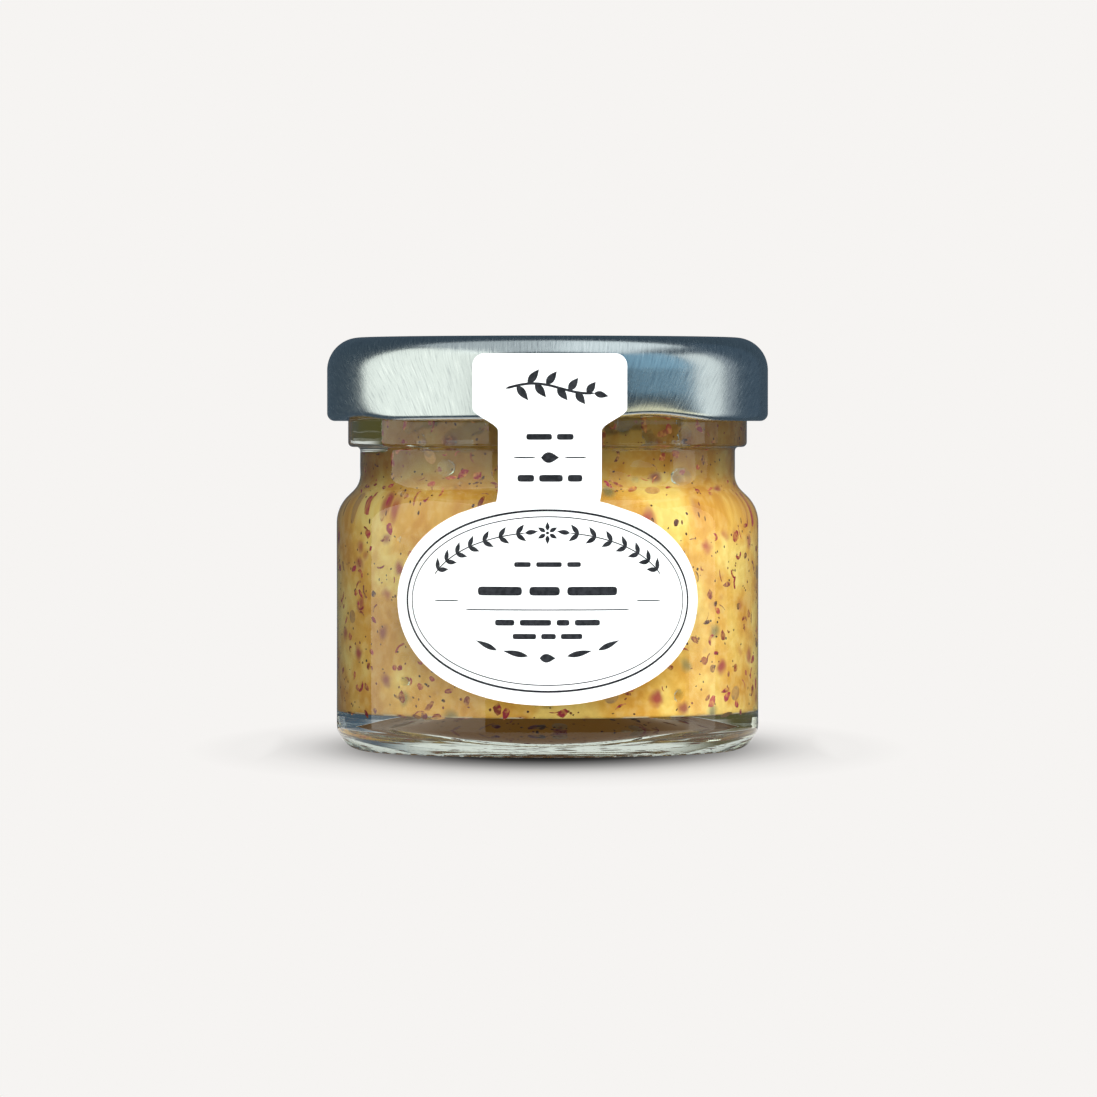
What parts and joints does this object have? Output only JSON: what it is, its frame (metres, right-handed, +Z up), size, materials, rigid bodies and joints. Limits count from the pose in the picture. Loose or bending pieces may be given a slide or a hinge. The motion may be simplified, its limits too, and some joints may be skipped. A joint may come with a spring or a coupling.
{
  "type": "mustard jar",
  "caption": "Small round glass jar of wholegrain mustard, shut with a twist-off metal lid and a white paper seal over its front.",
  "frame": {"origin": "on the jar's axis, on the surface that it stands on: the centre of the base's bearing ring", "axes": "+Z up along the jar's axis of symmetry, towards the lid; the paper seal faces -Y"},
  "size_m": [0.046, 0.0463, 0.043],
  "materials": {
    "glass": "clear flint glass, moulded, smooth and glossy",
    "mustard": "moist golden wholegrain paste with husks and specks (stands in for food)",
    "lid_steel": "satin silver lacquered tinplate",
    "seal_paper": "smooth white coated paper with fine grey printed lines"
  },
  "bodies": {
    "root": {"glass_jar": "glass", "mustard": "mustard", "lid": "lid_steel", "paper_seal": "seal_paper"}
  },
  "joints": []
}
